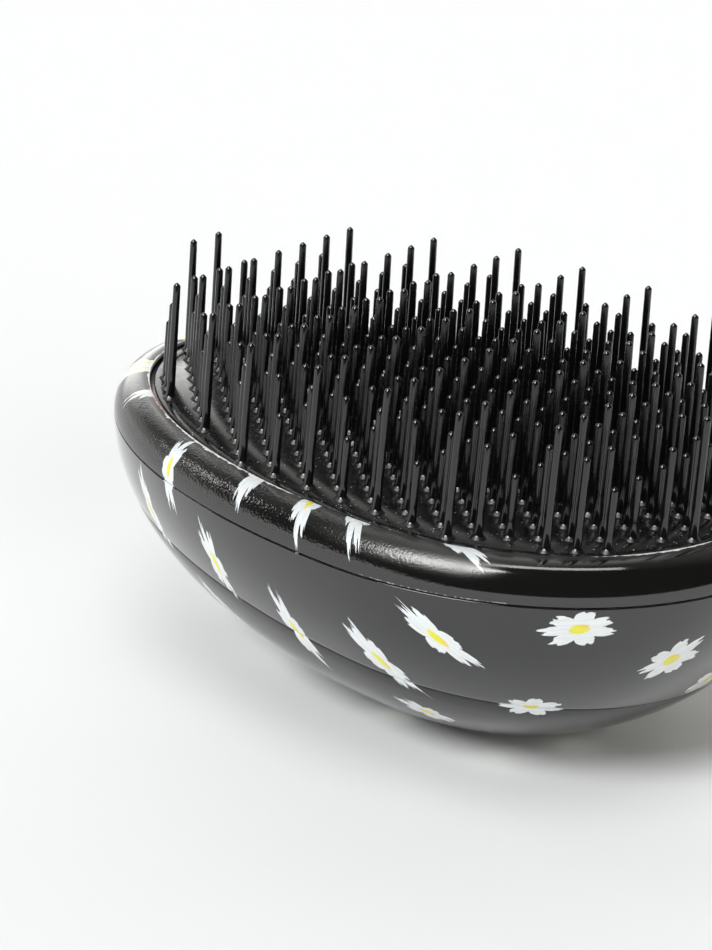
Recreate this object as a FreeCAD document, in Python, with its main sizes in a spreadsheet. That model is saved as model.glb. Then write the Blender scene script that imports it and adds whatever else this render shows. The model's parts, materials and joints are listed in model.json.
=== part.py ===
import FreeCAD, Part
import math
import os

import Sketcher

Vector = FreeCAD.Vector
UP = Vector(0, 0, 1)

# A palm-held detangling brush lying on its back with its teeth up. +X points to the blunt end,
# +Z up, and the origin is on the floor under the middle of the brush.
SIZES = {
    # plan at the girth, where the brush is widest
    "far_reach": 64.5,
    "near_reach": 41.5,
    "brush_width": 81.4,
    # palm dome below the girth, cut flat where it rests
    "dome_depth": 33.0,
    "rest_cut": 1.0,
    "shell_wall": 2.2,
    # joint line between side shell and back cover, which climbs towards the narrow end
    "line_drop": 13.5,
    "line_tilt": 6.4,
    "line_groove": 0.5,
    "tongue_height": 2.0,
    "tongue_wall": 1.0,
    "fit_gap": 0.1,
    # rim above the girth
    "rim_width": 5.0,
    "rim_height": 4.5,
    "rim_land": 0.6,
    "rim_step": 0.5,
    "rim_lip": 1.4,
    "seam_groove": 0.5,
    # skirt and snap bead of the rim, inside the side shell
    "skirt_inset": 1.7,
    "skirt_wall": 1.1,
    "skirt_depth": 2.5,
    "bead_height": 0.7,
    "bead_reach": 0.35,
    # ledge of the side shell that carries the plates
    "ledge_inset": 4.0,
    "ledge_width": 2.5,
    "ledge_height": 2.2,
    # tooth plate and the stiff plate behind it
    "plate_thickness": 1.2,
    "backing_thickness": 1.8,
    "rib_thickness": 1.6,
    "rib_depth": 5.0,
    "rib_spacing": 15.0,
    "rib_inset": 9.0,
    # teeth on a square lattice that stands on its corner
    "tooth_pitch": 4.0,
    "long_tooth": 17.0,
    "medium_tooth": 12.8,
    "short_tooth": 8.8,
    "root_radius": 0.6,
    "tip_radius": 0.5,
    "root_clearance": 0.06,
    "first_row_inset": 7.2,
    "lean_height": 770.0,
    # edge of the toothed field: set off from the rim, straight at the sides, and with its widest
    # station shifted towards the narrow end
    "field_margin": 0.9,
    "side_margin": 3.2,
    "field_shift": 1.1,
    "field_power": 1.82,
    # how far a cutting tool runs past what it cuts
    "overrun": 5.0,
}

doc = FreeCAD.newDocument("detangling_brush")
sheet = doc.addObject("Spreadsheet::Sheet", "dims")
for line, (alias, number) in enumerate(SIZES.items(), start=1):
    sheet.set(f"A{line}", alias)
    sheet.set(f"B{line}", str(number))
    sheet.setAlias(f"B{line}", alias)
doc.recompute()

# Levels and insets that several pieces share, as expressions on the sheet
WIDEST = "((dims.far_reach - dims.near_reach) / 2)"
GIRTH = "(dims.dome_depth - dims.rest_cut)"
RIM_TOP = f"({GIRTH} + dims.rim_height)"
PLATE_TOP = f"({RIM_TOP} - dims.rim_step)"
PLATE_BOTTOM = f"({PLATE_TOP} - dims.plate_thickness)"
BACKING_BOTTOM = f"({PLATE_BOTTOM} - dims.backing_thickness)"
POCKET_INSET = "(dims.rim_width - dims.rim_lip)"
PLATE_INSET = f"({POCKET_INSET} + dims.fit_gap)"
SKIRT_BOTTOM = f"({GIRTH} - dims.skirt_depth)"
LEDGE_TOP = f"({SKIRT_BOTTOM} - dims.fit_gap)"
BEAD_BOTTOM = f"({SKIRT_BOTTOM} + dims.bead_height / 2)"
BRUSH_LENGTH = "(dims.far_reach + dims.near_reach)"


def value(expression):
    return float(sheet.evalExpression(expression))


def egg_wire(inset, level):
    """The egg outline of the brush, two half ellipses, drawn in by inset, at a height."""
    half_width = value(f"dims.brush_width / 2 - {inset}")
    halves = []
    for reach, start in (("dims.near_reach", -90), ("dims.far_reach", 90)):
        half = Part.makeCircle(1, Vector(), UP, start, start + 180)
        stretch = FreeCAD.Matrix()
        stretch.scale(value(f"{reach} - {inset}"), half_width, 1)
        stretch.move(Vector(value(WIDEST), 0, value(level)))
        halves.append(half.transformGeometry(stretch))
    return Part.Wire(halves)


def outline(name, inset, level):
    feature = doc.addObject("Part::Feature", name)
    feature.Shape = egg_wire(inset, level)
    return feature


def extrusion(name, base, height):
    feature = doc.addObject("Part::Extrusion", name)
    feature.Base = base
    feature.DirMode = "Custom"
    feature.Dir = UP
    feature.Solid = True
    feature.setExpression("LengthFwd", height)
    return feature


def prism(name, inset, bottom, height):
    return extrusion(name, outline(name + "_outline", inset, bottom), height)


def cut(name, base, tool):
    feature = doc.addObject("Part::Cut", name)
    feature.Base = base
    feature.Tool = tool
    return feature


def common(name, first, second):
    feature = doc.addObject("Part::MultiCommon", name)
    feature.Shapes = [first, second]
    return feature


def fuse(name, *shapes):
    feature = doc.addObject("Part::MultiFuse", name)
    feature.Shapes = list(shapes)
    return feature


def ring(name, outer, inner, bottom, height):
    return cut(
        name,
        prism(name + "_outer", outer, bottom, height),
        prism(name + "_inner", inner, bottom, height),
    )


def bowl(name, inset):
    """The palm dome drawn in by inset: the lower halves of two half ellipsoids."""
    halves = []
    for side, reach, turn in (("far", "dims.far_reach", 90), ("near", "dims.near_reach", -90)):
        half = doc.addObject("Part::Ellipsoid", f"{name}_{side}")
        half.setExpression("Radius1", f"dims.dome_depth - {inset}")
        half.setExpression("Radius2", f"dims.brush_width / 2 - {inset}")
        half.setExpression("Radius3", f"{reach} - {inset}")
        half.Angle1 = -90
        half.Angle2 = 0
        half.Angle3 = 180
        half.Placement = FreeCAD.Placement(Vector(), FreeCAD.Rotation(UP, turn))
        half.setExpression("Placement.Base.x", WIDEST)
        half.setExpression("Placement.Base.z", GIRTH)
        halves.append(half)
    return fuse(name, *halves)


def slab_under_line(name, raised, height):
    """A slab that ends at the tilted joint line, or this much above it."""
    slab = doc.addObject("Part::Box", name)
    slab.setExpression("Length", f"2 * {BRUSH_LENGTH}")
    slab.setExpression("Width", f"2 * {BRUSH_LENGTH}")
    slab.setExpression("Height", height)
    level = f"{GIRTH} - dims.line_drop + {raised}"
    slab.setExpression(
        "Placement",
        f"placement(vector(-{BRUSH_LENGTH}; -{BRUSH_LENGTH}; {level} - {height});"
        f" rotation(vector(0; 1; 0); dims.line_tilt);"
        f" vector({BRUSH_LENGTH}; {BRUSH_LENGTH}; {height}))",
    )
    return slab


def make_back_cover():
    below_line = slab_under_line("below_line", "0", "dims.dome_depth")
    below_tongue = slab_under_line("below_tongue", "dims.tongue_height", "dims.dome_depth")
    skin = common("cover_skin", bowl("cover_outside", "0"), below_line)
    tongue_inset = "(dims.shell_wall - dims.tongue_wall)"
    tongue = common("cover_tongue", bowl("tongue_outside", tongue_inset), below_tongue)
    hollow = cut("cover_hollow", fuse("cover_solid", skin, tongue), bowl("cover_inside", "dims.shell_wall"))
    floor = doc.addObject("Part::Box", "under_floor")
    floor.setExpression("Length", f"2 * {BRUSH_LENGTH}")
    floor.setExpression("Width", f"2 * {BRUSH_LENGTH}")
    floor.setExpression("Height", "dims.overrun")
    floor.setExpression("Placement.Base.x", f"-{BRUSH_LENGTH}")
    floor.setExpression("Placement.Base.y", f"-{BRUSH_LENGTH}")
    floor.setExpression("Placement.Base.z", "-dims.overrun")
    return cut("back_cover", hollow, floor)


def make_body_shell():
    wall = cut("shell_wall_solid", bowl("shell_outside", "0"), bowl("shell_inside", "dims.shell_wall"))
    ledge = ring(
        "shell_ledge",
        "dims.skirt_inset",
        "(dims.ledge_inset + dims.ledge_width)",
        f"{LEDGE_TOP} - dims.ledge_height",
        "dims.ledge_height",
    )
    whole = fuse("shell_with_ledge", wall, ledge)
    upper = cut("shell_above_line", whole, slab_under_line("shell_below_line", "0", "dims.dome_depth"))
    tongue_room = common(
        "tongue_room",
        bowl("tongue_room_outside", "(dims.shell_wall - dims.tongue_wall - dims.fit_gap)"),
        slab_under_line("tongue_room_top", "dims.tongue_height + dims.fit_gap", "dims.dome_depth"),
    )
    line_room = cut(
        "line_groove_room",
        slab_under_line("line_groove_slab", "dims.line_groove", "dims.line_groove"),
        bowl("line_groove_floor", "dims.line_groove"),
    )
    skirt_room = prism(
        "skirt_room",
        "(dims.skirt_inset - dims.fit_gap)",
        LEDGE_TOP,
        "dims.skirt_depth + dims.overrun",
    )
    bead_room = prism(
        "bead_room",
        "(dims.skirt_inset - dims.bead_reach - dims.fit_gap)",
        f"{BEAD_BOTTOM} - dims.fit_gap",
        "dims.bead_height + 2 * dims.fit_gap",
    )
    seam_room = ring(
        "seam_room",
        "-dims.overrun",
        "dims.seam_groove",
        f"{GIRTH} - dims.seam_groove",
        "dims.overrun",
    )
    rooms = fuse("shell_rooms", skirt_room, bead_room)
    opened = cut("shell_opened", upper, rooms)
    opened = cut("shell_seamed", opened, seam_room)
    opened = cut("shell_lined", opened, line_room)
    opened = cut("shell_tongued", opened, tongue_room)
    upstand = ring(
        "shell_upstand",
        "dims.ledge_inset",
        "(dims.ledge_inset + dims.ledge_width)",
        LEDGE_TOP,
        f"{BACKING_BOTTOM} - {LEDGE_TOP}",
    )
    return fuse("body_shell", opened, upstand)


def make_rim_ring():
    steps = 6
    sections = []
    for step in range(steps + 1):
        turn = 90 * step / steps
        inset = f"(dims.rim_width - dims.rim_land) * {1 - math.cos(math.radians(turn))}"
        level = f"{GIRTH} + dims.rim_height * {math.sin(math.radians(turn))}"
        sections.append(outline(f"rim_section_{step}", inset, level))
    crown = doc.addObject("Part::Loft", "rim_crown")
    crown.Sections = sections
    crown.Solid = True
    opening = prism("rim_opening", "dims.rim_width", GIRTH, "dims.rim_height + dims.overrun")
    pocket_bottom = f"({GIRTH} - dims.overrun)"
    pocket = prism("rim_pocket", POCKET_INSET, pocket_bottom, f"{PLATE_TOP} - {pocket_bottom}")
    bezel = cut("rim_bezel", crown, fuse("rim_rooms", opening, pocket))
    inner = "(dims.skirt_inset + dims.skirt_wall)"
    skirt = ring("rim_skirt", "dims.skirt_inset", inner, SKIRT_BOTTOM, "dims.skirt_depth")
    bead = ring("rim_bead", "(dims.skirt_inset - dims.bead_reach)", inner, BEAD_BOTTOM, "dims.bead_height")
    return fuse("rim_ring", bezel, fuse("rim_snap", skirt, bead))


def tooth_sites():
    """Rows of teeth across the brush, from the narrow end: (x, [y, ...]) for each row."""
    row_pitch = value("dims.tooth_pitch") / math.sqrt(2)
    power = value("dims.field_power")
    inset = "(dims.rim_width + dims.field_margin)"
    half_width = value(f"dims.brush_width / 2 - {inset}")
    side = value("dims.brush_width / 2 - dims.rim_width - dims.side_margin")
    far_reach = value(f"dims.far_reach - {inset} - dims.field_shift")
    near_reach = value(f"dims.near_reach - {inset} + dims.field_shift")
    centre = value(f"{WIDEST} - dims.field_shift")
    x = value(f"dims.first_row_inset - {BRUSH_LENGTH} / 2")
    rows = []
    while x < centre + near_reach:
        along = (x - centre) / near_reach if x > centre else (centre - x) / far_reach
        edge = min(half_width * max(1 - along**power, 0) ** (1 / power), side)
        odd_row = len(rows) % 2
        most = math.ceil(edge / row_pitch)
        places = [k * row_pitch for k in range(-most, most + 1) if (k + odd_row) % 2]
        rows.append((x, [y for y in places if abs(y) <= edge]))
        x += row_pitch
    return [row for row in rows if row[1]]


def make_tooth_plate(rows):
    holes = []
    radius = value("dims.root_radius + dims.root_clearance")
    level = value(PLATE_BOTTOM)
    for x, places in rows:
        holes += [Part.Wire(Part.makeCircle(radius, Vector(x, y, level))) for y in places]
    face = doc.addObject("Part::Feature", "tooth_plate_face")
    face.Shape = Part.makeFace([egg_wire(PLATE_INSET, PLATE_BOTTOM)] + holes, "Part::FaceMakerBullseye")
    return extrusion("tooth_plate", face, "dims.plate_thickness")


def make_backing_plate():
    deck = prism("backing_deck", PLATE_INSET, BACKING_BOTTOM, "dims.backing_thickness")
    bars = []
    spine = doc.addObject("Part::Box", "backing_spine")
    spine.setExpression("Length", BRUSH_LENGTH)
    spine.setExpression("Width", "dims.rib_thickness")
    spine.setExpression("Placement.Base.x", f"-{BRUSH_LENGTH} / 2")
    spine.setExpression("Placement.Base.y", "-dims.rib_thickness / 2")
    bars.append(spine)
    each_side = math.ceil(value(f"{BRUSH_LENGTH} / 2 / dims.rib_spacing"))
    for place in range(-each_side, each_side + 1):
        bar = doc.addObject("Part::Box", f"backing_rib_{place + each_side}")
        bar.setExpression("Length", "dims.rib_thickness")
        bar.setExpression("Width", "dims.brush_width")
        bar.setExpression("Placement.Base.x", f"{place} * dims.rib_spacing - dims.rib_thickness / 2")
        bar.setExpression("Placement.Base.y", "-dims.brush_width / 2")
        bars.append(bar)
    for bar in bars:
        bar.setExpression("Height", "dims.rib_depth")
        bar.setExpression("Placement.Base.z", f"{BACKING_BOTTOM} - dims.rib_depth")
    room = prism("rib_room", "dims.rib_inset", f"{BACKING_BOTTOM} - dims.rib_depth", "dims.rib_depth")
    return fuse("backing_plate", deck, common("backing_ribs", fuse("backing_bars", *bars), room))


def make_tooth(name, length):
    """One tooth: a slim round cone with a ball root centred on the origin and a round tip."""
    body = doc.addObject("PartDesign::Body", name)
    sketch = body.newObject("Sketcher::SketchObject", name + "_profile")
    plane = [f for f in body.Origin.OriginFeatures if f.Role == "XZ_Plane"][0]
    sketch.AttachmentSupport = [(plane, "")]
    sketch.MapMode = "FlatFace"
    root_radius = value("dims.root_radius")
    tip_radius = value("dims.tip_radius")
    shoulder = Vector(tip_radius, value(f"{length} - dims.tip_radius"), 0)
    tip_centre = Vector(0, shoulder.y, 0)
    axis = Vector(0, 0, 1)
    root_ball = Part.Circle(Vector(), axis, root_radius)
    tip_ball = Part.Circle(tip_centre, axis, tip_radius)
    root = sketch.addGeometry(Part.ArcOfCircle(root_ball, -math.pi / 2, 0))
    side = sketch.addGeometry(Part.LineSegment(Vector(root_radius, 0, 0), shoulder))
    tip = sketch.addGeometry(Part.ArcOfCircle(tip_ball, 0, math.pi / 2))
    spine = sketch.addGeometry(
        Part.LineSegment(Vector(0, value(length), 0), Vector(0, -root_radius, 0))
    )
    start, end, centre, origin, x_axis, y_axis = 1, 2, 3, -1, -1, -2
    sketch.addConstraint([
        Sketcher.Constraint("Coincident", root, end, side, start),
        Sketcher.Constraint("Coincident", side, end, tip, start),
        Sketcher.Constraint("Coincident", tip, end, spine, start),
        Sketcher.Constraint("Coincident", spine, end, root, start),
        Sketcher.Constraint("Coincident", root, centre, origin, 1),
        Sketcher.Constraint("PointOnObject", root, end, x_axis),
        Sketcher.Constraint("PointOnObject", root, start, y_axis),
        Sketcher.Constraint("PointOnObject", tip, centre, y_axis),
        Sketcher.Constraint("PointOnObject", tip, end, y_axis),
        Sketcher.Constraint("Horizontal", tip, centre, tip, start),
    ])
    for label, constraint, size in (
        ("root", Sketcher.Constraint("Radius", root, root_radius), "dims.root_radius"),
        ("tip", Sketcher.Constraint("Radius", tip, tip_radius), "dims.tip_radius"),
        ("length", Sketcher.Constraint("DistanceY", origin, 1, tip, end, value(length)), length),
    ):
        index = sketch.addConstraint(constraint)
        sketch.renameConstraint(index, label)
        sketch.setExpression(f"Constraints.{label}", size)
    turned = body.newObject("PartDesign::Revolution", name + "_turned")
    turned.Profile = sketch
    turned.ReferenceAxis = (sketch, ["V_Axis"])
    turned.Angle = 360
    body.Tip = turned
    return body


def make_tooth_rows(rows):
    """Each row across the brush is a group of separate teeth of one length."""
    longs = make_tooth("long_tooth_pattern", "dims.long_tooth")
    mediums = make_tooth("medium_tooth_pattern", "dims.medium_tooth")
    shorts = make_tooth("short_tooth_pattern", "dims.short_tooth")
    doc.recompute()
    cycle = [longs, mediums, shorts, mediums]
    root_level = value(PLATE_TOP)
    lean_height = value("dims.lean_height")
    features = []
    for number, (x, places) in enumerate(rows):
        teeth = []
        for y in places:
            lean = FreeCAD.Rotation(Vector(1, 0, 0), math.degrees(math.atan2(y, lean_height)))
            tooth = cycle[number % len(cycle)].Shape.copy()
            tooth.Placement = FreeCAD.Placement(Vector(x, y, root_level), lean)
            teeth.append(tooth)
        feature = doc.addObject("Part::Feature", f"tooth_row_{number + 1:02d}")
        feature.Shape = Part.makeCompound(teeth)
        features.append(feature)
    return features


def check(parts):
    doc.recompute()
    for feature in doc.Objects:
        if "Invalid" in feature.State or "Error" in feature.State:
            raise RuntimeError(f"{feature.Label} failed: {feature.State}")
    for part in parts:
        if part.Shape.isNull() or not part.Shape.isValid():
            raise RuntimeError(f"{part.Label} has no valid shape")


def main():
    rows = tooth_sites()
    parts = [make_back_cover(), make_body_shell(), make_rim_ring()]
    parts += [make_tooth_plate(rows), make_backing_plate()]
    parts += make_tooth_rows(rows)
    check(parts)
    os.makedirs("parts", exist_ok=True)
    for part in parts:
        part.Shape.exportStep(f"parts/{part.Label}.step")
        print(part.Label, len(part.Shape.Solids), "solids", round(part.Shape.Volume, 1), "mm3")
    print("teeth", sum(len(places) for x, places in rows), "in", len(rows), "rows")


main()
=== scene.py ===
import json
import math
import random

import bpy
import numpy as np
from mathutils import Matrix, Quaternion, Vector


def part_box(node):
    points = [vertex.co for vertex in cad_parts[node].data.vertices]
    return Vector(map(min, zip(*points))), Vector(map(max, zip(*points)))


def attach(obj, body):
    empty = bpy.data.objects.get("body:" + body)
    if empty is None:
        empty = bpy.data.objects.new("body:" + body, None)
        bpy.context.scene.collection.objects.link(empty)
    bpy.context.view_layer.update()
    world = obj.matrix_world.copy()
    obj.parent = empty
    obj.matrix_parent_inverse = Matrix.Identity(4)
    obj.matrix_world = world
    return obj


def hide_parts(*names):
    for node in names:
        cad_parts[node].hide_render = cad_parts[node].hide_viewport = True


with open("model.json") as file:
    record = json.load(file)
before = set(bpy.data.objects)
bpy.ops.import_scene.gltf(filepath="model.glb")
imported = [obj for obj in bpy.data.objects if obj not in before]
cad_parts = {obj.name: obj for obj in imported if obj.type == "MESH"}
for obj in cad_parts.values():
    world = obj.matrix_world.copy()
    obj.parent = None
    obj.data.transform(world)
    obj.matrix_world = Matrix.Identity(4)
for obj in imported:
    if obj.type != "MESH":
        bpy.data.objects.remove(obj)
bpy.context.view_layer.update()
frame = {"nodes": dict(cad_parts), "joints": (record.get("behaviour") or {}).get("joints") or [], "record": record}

# Sizes of the brush are in millimetres and become metres when a mesh is made.
MM = 0.001
COLUMNS = 540
BODY = "brush_body"

# Plan and heights of the brush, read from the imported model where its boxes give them
rim_low, rim_high = (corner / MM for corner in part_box("rim_ring"))
WIDEST = 11.5
FAR_REACH = WIDEST - rim_low.x
NEAR_REACH = rim_high.x - WIDEST
HALF_WIDTH = rim_high.y
RIM_TOP = rim_high.z
RIM_HEIGHT = 4.5
GIRTH = RIM_TOP - RIM_HEIGHT
DOME_DEPTH = 33.0
SHELL_WALL = 2.2

# Rim: quarter-round crown, flat land and a lip over the plate
CROWN_WIDTH = 4.4
CROWN_START_DEG = 5
CROWN_STEPS = 34
RIM_WIDTH = 5.0
LIP_ROUND = 0.12
LIP_STEPS = 4
BASE_INSET = LIP_ROUND * 3
LIP_UNDERSIDE = RIM_TOP - 0.5
POCKET_INSET = 3.6
SKIRT_OUTSIDE = 1.7
SKIRT_INSIDE = 2.8
SKIRT_DEPTH = 2.5

# Seam under the rim, and the tilted joint line lower down
RIM_OVERHANG = 0.38
SEAM_GAP = 0.17
SEAM_DEPTH = 0.5
SEAM_ROUND = 0.16
SEAM_STEPS = 6
HIDDEN_GAP = 0.05
LINE_DROP = 13.5
LINE_TILT = math.radians(6.4)
LINE_ROUNDS = 12
LINE_DEPTH = 0.16
LINE_GAP = 0.25

# Side shell, down to a small lip at the joint line
WALL_RINGS = 44
SHELL_LIP = 0.5
SHELL_LIP_STEPS = 12
INNER_WALL_SHARES = (0.66, 0.33, 0.0)

# Palm cover, from a shallow shoulder at the joint line to the flat that it rests on
COVER_SHOULDER = 2.5
COVER_EDGE = 0.1
COVER_EDGE_DEPTH = LINE_DEPTH * 1.6
DOME_RINGS = 60
FLAT_SHARES = (0.9, 0.7, 0.5, 0.3, 0.1)
BOWL_RINGS = 12
BOWL_START = 0.05
MERIDIAN_STEPS = 60

# Plate: a groove beside the rim, then a border strip, then the field with the teeth
PLATE_TOP = LIP_UNDERSIDE
PLATE_THICKNESS = 1.2
PLATE_EDGE_INSET = 3.7
GROOVE_DEPTH = 0.2
STRIP_START = 5.75
STRIP_WIDTH = 1.35
STRIP_RISE = 0.08
STRIP_ROUND = 0.1
FIELD_SHARES = (0.85, 0.7, 0.55, 0.4, 0.25, 0.1)

# Teeth
ROOT_RADIUS = 0.6
TIP_RADIUS = 0.5
LEAN_HEIGHT = 770.0
TOOTH_SIDES = 20
FLARE_RADIUS = 1.15
FLARE_HEIGHT = 0.6
FLARE_CURVE = 1.1
FLARE_STEPS = 8
FLARE_SUNK = 0.5
FOOT_GRAIN_HEIGHTS = (FLARE_HEIGHT * 0.5, FLARE_HEIGHT * 0.95)
SHAFT_SHARES = (0.25, 0.5, 0.75)
TIP_STEPS = 8
TIP_POINT = 1.3

SHARP_DEG = 50


# Shape of the brush


def reach_at(plan):
    return np.where(np.cos(plan) > 0, NEAR_REACH, FAR_REACH)


def plan_angles():
    return np.linspace(-math.pi, math.pi, COLUMNS, endpoint=False)


def egg_ring(inset, level):
    """One closed ring of the egg outline, drawn in by inset, at a height."""
    plan = plan_angles()
    x = WIDEST + (reach_at(plan) - inset) * np.cos(plan)
    y = (HALF_WIDTH - inset) * np.sin(plan)
    return np.stack([x, y, np.full(COLUMNS, level)], 1)


def dome_ring(depth_angle, inset):
    """One closed ring of the palm dome. The angle is 0 at the girth and 90 degrees at the bottom."""
    plan = plan_angles()
    x = WIDEST + (reach_at(plan) - inset) * np.cos(depth_angle) * np.cos(plan)
    y = (HALF_WIDTH - inset) * np.cos(depth_angle) * np.sin(plan)
    z = GIRTH - (DOME_DEPTH - inset) * np.sin(depth_angle)
    return np.stack([x, y, z + np.zeros(COLUMNS)], 1)


def joint_line_angle():
    """Depth angle of the tilted joint line in each column."""
    angle = np.full(COLUMNS, math.asin(LINE_DROP / DOME_DEPTH))
    for _ in range(LINE_ROUNDS):
        x = WIDEST + reach_at(plan_angles()) * np.cos(angle) * np.cos(plan_angles())
        drop = LINE_DROP + math.tan(LINE_TILT) * x
        angle = np.arcsin(drop / DOME_DEPTH)
    return angle


def girth_lengths():
    """Length along the girth to each column, and all the way round."""
    ring = egg_ring(0, GIRTH)
    steps = np.linalg.norm(np.roll(ring, -1, axis=0) - ring, axis=1)
    return np.concatenate([[0], np.cumsum(steps)[:-1]]), steps.sum()


ALONG, ROUND = girth_lengths()
LINE = joint_line_angle()


def meridian_length(depth_angle):
    """Distance down the dome from the girth to a ring, in each column."""
    plan = plan_angles()
    across = np.hypot(reach_at(plan) * np.cos(plan), HALF_WIDTH * np.sin(plan))
    shares = np.linspace(0, 1, MERIDIAN_STEPS)[:, None]
    angle = shares * (depth_angle + np.zeros(COLUMNS))
    speed = np.hypot(across * np.sin(angle), DOME_DEPTH * np.cos(angle))
    mean_speed = (speed[1:] + speed[:-1]).mean(0) / 2
    return mean_speed * depth_angle


# Meshes


def mesh_object(name, points, faces):
    mesh = bpy.data.meshes.new(name)
    mesh.from_pydata((np.asarray(points) * MM).tolist(), [], faces)
    mesh.polygons.foreach_set("use_smooth", [True] * len(mesh.polygons))
    mesh.set_sharp_from_angle(angle=math.radians(SHARP_DEG))
    mesh.update()
    piece = bpy.data.objects.new(name, mesh)
    bpy.context.scene.collection.objects.link(piece)
    return piece


def arc(start, end, steps):
    return [start + (end - start) * step / steps for step in range(steps + 1)]


def ring_faces(count, first, second):
    """Quads between two rings of vertices that start at the given indices."""
    ahead = [(j + 1) % count for j in range(count)]
    return [(first + j, first + ahead[j], second + ahead[j], second + j) for j in range(count)]


def swept(name, rings, closed):
    """A piece from rings of points. Closed joins the last ring to the first, else both ends get a pole."""
    count = len(rings[0])
    points = np.concatenate(rings)
    faces = []
    for i in range(len(rings) - 1):
        faces += ring_faces(count, i * count, (i + 1) * count)
    last = (len(rings) - 1) * count
    if closed:
        faces += ring_faces(count, last, 0)
        return mesh_object(name, points, faces)
    poles = [rings[0].mean(0), rings[-1].mean(0)]
    start, end = len(points), len(points) + 1
    faces += [(start, (j + 1) % count, j) for j in range(count)]
    faces += [(end, last + j, last + (j + 1) % count) for j in range(count)]
    return mesh_object(name, np.concatenate([points, poles]), faces)


def swept_cup(name, outer, inner):
    """A bowl with a thickness: outer rings down to a pole, inner rings up from one, joined at the mouth."""
    count = len(outer[0])
    rings = outer + inner
    points = np.concatenate(rings + [outer[-1].mean(0)[None], inner[0].mean(0)[None]])
    pole = len(rings) * count
    faces = []
    for i in range(len(rings) - 1):
        if i != len(outer) - 1:
            faces += ring_faces(count, i * count, (i + 1) * count)
    last_outer = (len(outer) - 1) * count
    first_inner = len(outer) * count
    faces += [(pole, last_outer + j, last_outer + (j + 1) % count) for j in range(count)]
    faces += [(pole + 1, first_inner + (j + 1) % count, first_inner + j) for j in range(count)]
    faces += ring_faces(count, (len(rings) - 1) * count, 0)
    return mesh_object(name, points, faces)


# Daisy print

# Each flower in view has a place on the brush, as a plan angle and a distance above the girth,
# measured over the surface, and a share of the usual length. The film was drawn over the shell, so
# its stretch follows the plan angle.
DAISY_PLACES = [
    (-44, -3.4, 1), (-24, -9.6, 1), (-8, -17, 1), (-50, -18.6, 0.82), (-69, -6.8, 1), (-81, -13.5, 1),
    (-98, -13.9, 1), (-111, -8.6, 0.95), (-128, -7.3, 0.95), (-119, -20.5, 1), (-74.5, -25.6, 0.95),
    (-70, 9.0, 1), (-121, 1.7, 0.88), (-108, 9.0, 1.1), (-97.8, 7.7, 1), (-91.2, 9.6, 1.05),
    (-145, 9.6, 1), (-157, 5.6, 1),
]
STRETCH_ANGLES = (0, 45, 70, 100, 180)
STRETCH_TURNS = (232, 186, 142, 108, 102)
STRETCH_HALF_LENGTHS = (4.4, 5.2, 7.2, 6.6, 6.2)
STRETCH_HALF_WIDTHS = (3.0, 2.7, 1.8, 1.7, 1.7)
PALM_HALF_LENGTH = 3.9
PALM_HALF_WIDTH = 2.4
PALM_RISES = (-30, -15)
RIM_RISES = (2, 7)
RIM_LENGTH_SHARE = 1.25
DAISY_REACH_SHARE = 1.7
NO_DAISY = (9.0, 9.0, 0.0)
NO_RISE = 1e3

# The scatter on the sides that the photograph doesn't show, in rows round the brush
SCATTER_RISES = (8.0, -7, -17.5, -28, -39)
SCATTER_SPACING = 16.0
SCATTER_JITTER = 3.0
SCATTER_SLIDE = 0.15
SCATTER_SEED = 7
SCATTER_POLE_DEPTH = DOME_DEPTH * 1.35
LEAST_RING = 0.1
PHOTO_SIDE_DEG = (-153, -3)
PALM_RISE = -35


def scattered_places():
    """Places on the sides that the listed flowers leave bare, in rows round the brush."""
    chance = random.Random(SCATTER_SEED)
    places = []
    for row, rise in enumerate(SCATTER_RISES):
        ring_share = math.sqrt(max(1 - (min(rise, 0) / SCATTER_POLE_DEPTH) ** 2, LEAST_RING))
        count = round(ROUND * ring_share / SCATTER_SPACING)
        for step in range(count):
            slide = chance.uniform(-SCATTER_SLIDE, SCATTER_SLIDE)
            angle = -180 + 360 * (step + 0.5 * (row % 2) + slide) / count
            height = rise + chance.uniform(-SCATTER_JITTER, SCATTER_JITTER)
            hidden = not PHOTO_SIDE_DEG[0] < angle < PHOTO_SIDE_DEG[1] or rise < PALM_RISE
            if hidden:
                places.append((angle, height, 1))
    return places


def daisies():
    """(plan angle, rise, turn, half length, half width, seed, pull) of each flower."""
    flowers = []
    for number, (angle, rise, length_share) in enumerate(DAISY_PLACES + scattered_places()):
        from_near = abs((angle + 180) % 360 - 180)
        turn = np.interp(from_near, STRETCH_ANGLES, STRETCH_TURNS)
        palm = float(np.interp(rise, PALM_RISES, (1, 0)))
        length = np.interp(from_near, STRETCH_ANGLES, STRETCH_HALF_LENGTHS)
        width = np.interp(from_near, STRETCH_ANGLES, STRETCH_HALF_WIDTHS)
        length += palm * (PALM_HALF_LENGTH - length)
        length *= length_share * np.interp(rise, RIM_RISES, (1, RIM_LENGTH_SHARE))
        width += palm * (PALM_HALF_WIDTH - width)
        mirrored = turn if angle < 0 else 180 - turn
        flowers.append((angle, rise, math.radians(mirrored), length, width, number, 1 - width / length))
    return flowers


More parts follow.
